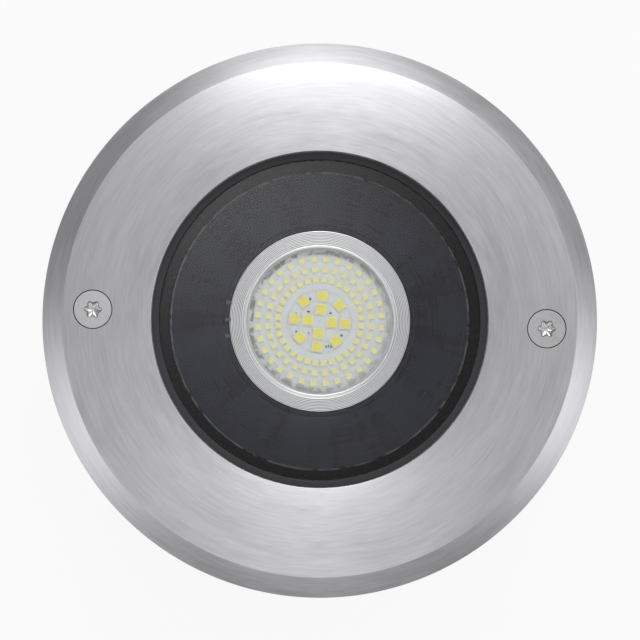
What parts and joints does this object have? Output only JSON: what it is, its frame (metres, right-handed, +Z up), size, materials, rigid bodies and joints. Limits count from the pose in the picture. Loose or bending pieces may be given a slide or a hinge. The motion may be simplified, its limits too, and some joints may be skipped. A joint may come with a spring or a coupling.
{
  "type": "in ground well light",
  "caption": "Round in ground well light: bevelled steel bezel and glass over a tilting reflector lamp in a cast well, standing in a buried sleeve with conduit entries.",
  "frame": {"origin": "centre of the bezel's underside, which lies on the paving", "axes": "+Z up out of the ground; X through the two cover screws and along the lamp's tilting axis; the conduit leaves along +Y"},
  "size_m": [0.1502, 0.1502, 0.1271],
  "materials": {
    "bezel_steel": "circular-brushed stainless steel, crisp bevel",
    "screw_steel": "plain stainless screws",
    "nylon": "natural nylon",
    "front_glass": "clear toughened glass, polished",
    "gasket_rubber": "dark grey silicone, satin",
    "seal_rubber": "black rubber",
    "cast_black": "black powder coat, fine texture",
    "plate_black": "blue-black satin coat over turned metal",
    "brass": "turned brass",
    "zinc_steel": "zinc-plated sheet steel",
    "small_steel": "zinc-plated small screws",
    "clip_steel": "black spring wire",
    "lamp_aluminium": "turned aluminium with fine concentric grooves",
    "lamp_bead": "bright rolled ring",
    "lamp_lens": "clear moulded face",
    "board_white": "pale grey-blue solder mask",
    "chip_pale": "pale yellow phosphor",
    "chip_yellow": "yellow phosphor",
    "part_dark": "dark resistors",
    "base_plastic": "off-white moulding",
    "pin_nickel": "nickel-plated pins",
    "holder_ceramic": "unglazed ceramic",
    "terminal_plastic": "natural polyamide",
    "lead_silicone": "silicone-sleeved wire",
    "gland_plastic": "black polyamide",
    "sleeve_plastic": "dark grey moulded tube"
  },
  "bodies": {
    "sleeve": {"sleeve": "sleeve_plastic"},
    "fixture": {"housing": "cast_black", "yoke": "zinc_steel", "gland_body": "gland_plastic", "gland_nut": "gland_plastic"},
    "cover": {"bezel_ring": "bezel_steel", "bezel_screws": "screw_steel"},
    "glass": {"front_glass": "front_glass", "glass_gasket": "gasket_rubber"},
    "carrier": {"lamp_plate": "plate_black", "pivot_screws": "small_steel", "holder_bracket": "zinc_steel", "lampholder": "holder_ceramic", "terminal_block": "terminal_plastic"},
    "lamp": {"lamp_shell": "lamp_aluminium", "lamp_lens": "lamp_lens", "led_board": "board_white", "large_chips": "chip_yellow", "lamp_base": "base_plastic", "lamp_pins": "pin_nickel"}
  },
  "joints": [
    {"name": "fixture_lift", "type": "slide", "parent": "sleeve", "child": "fixture", "axis": [0, 0, 1], "range_m": [0, 0.125]},
    {"name": "cover_lift", "type": "slide", "parent": "fixture", "child": "cover", "axis": [0, 0, 1], "range_m": [0, 0.1]},
    {"name": "glass_lift", "type": "slide", "parent": "fixture", "child": "glass", "axis": [0, 0, 1], "range_m": [0, 0.08]},
    {"name": "lamp_tilt", "type": "hinge", "parent": "fixture", "child": "carrier", "pos_m": [0, 0, -0.02991], "axis": [1, 0, 0], "range_deg": [-7, 7]},
    {"name": "lamp_lift", "type": "slide", "parent": "carrier", "child": "lamp", "axis": [0, 0, 1], "range_m": [0, 0.07]}
  ],
  "couplings": [
    {"joint": "glass_lift", "follows": "cover_lift", "ratio": 0.8},
    {"joint": "lamp_lift", "follows": "cover_lift", "ratio": 0.7}
  ]
}
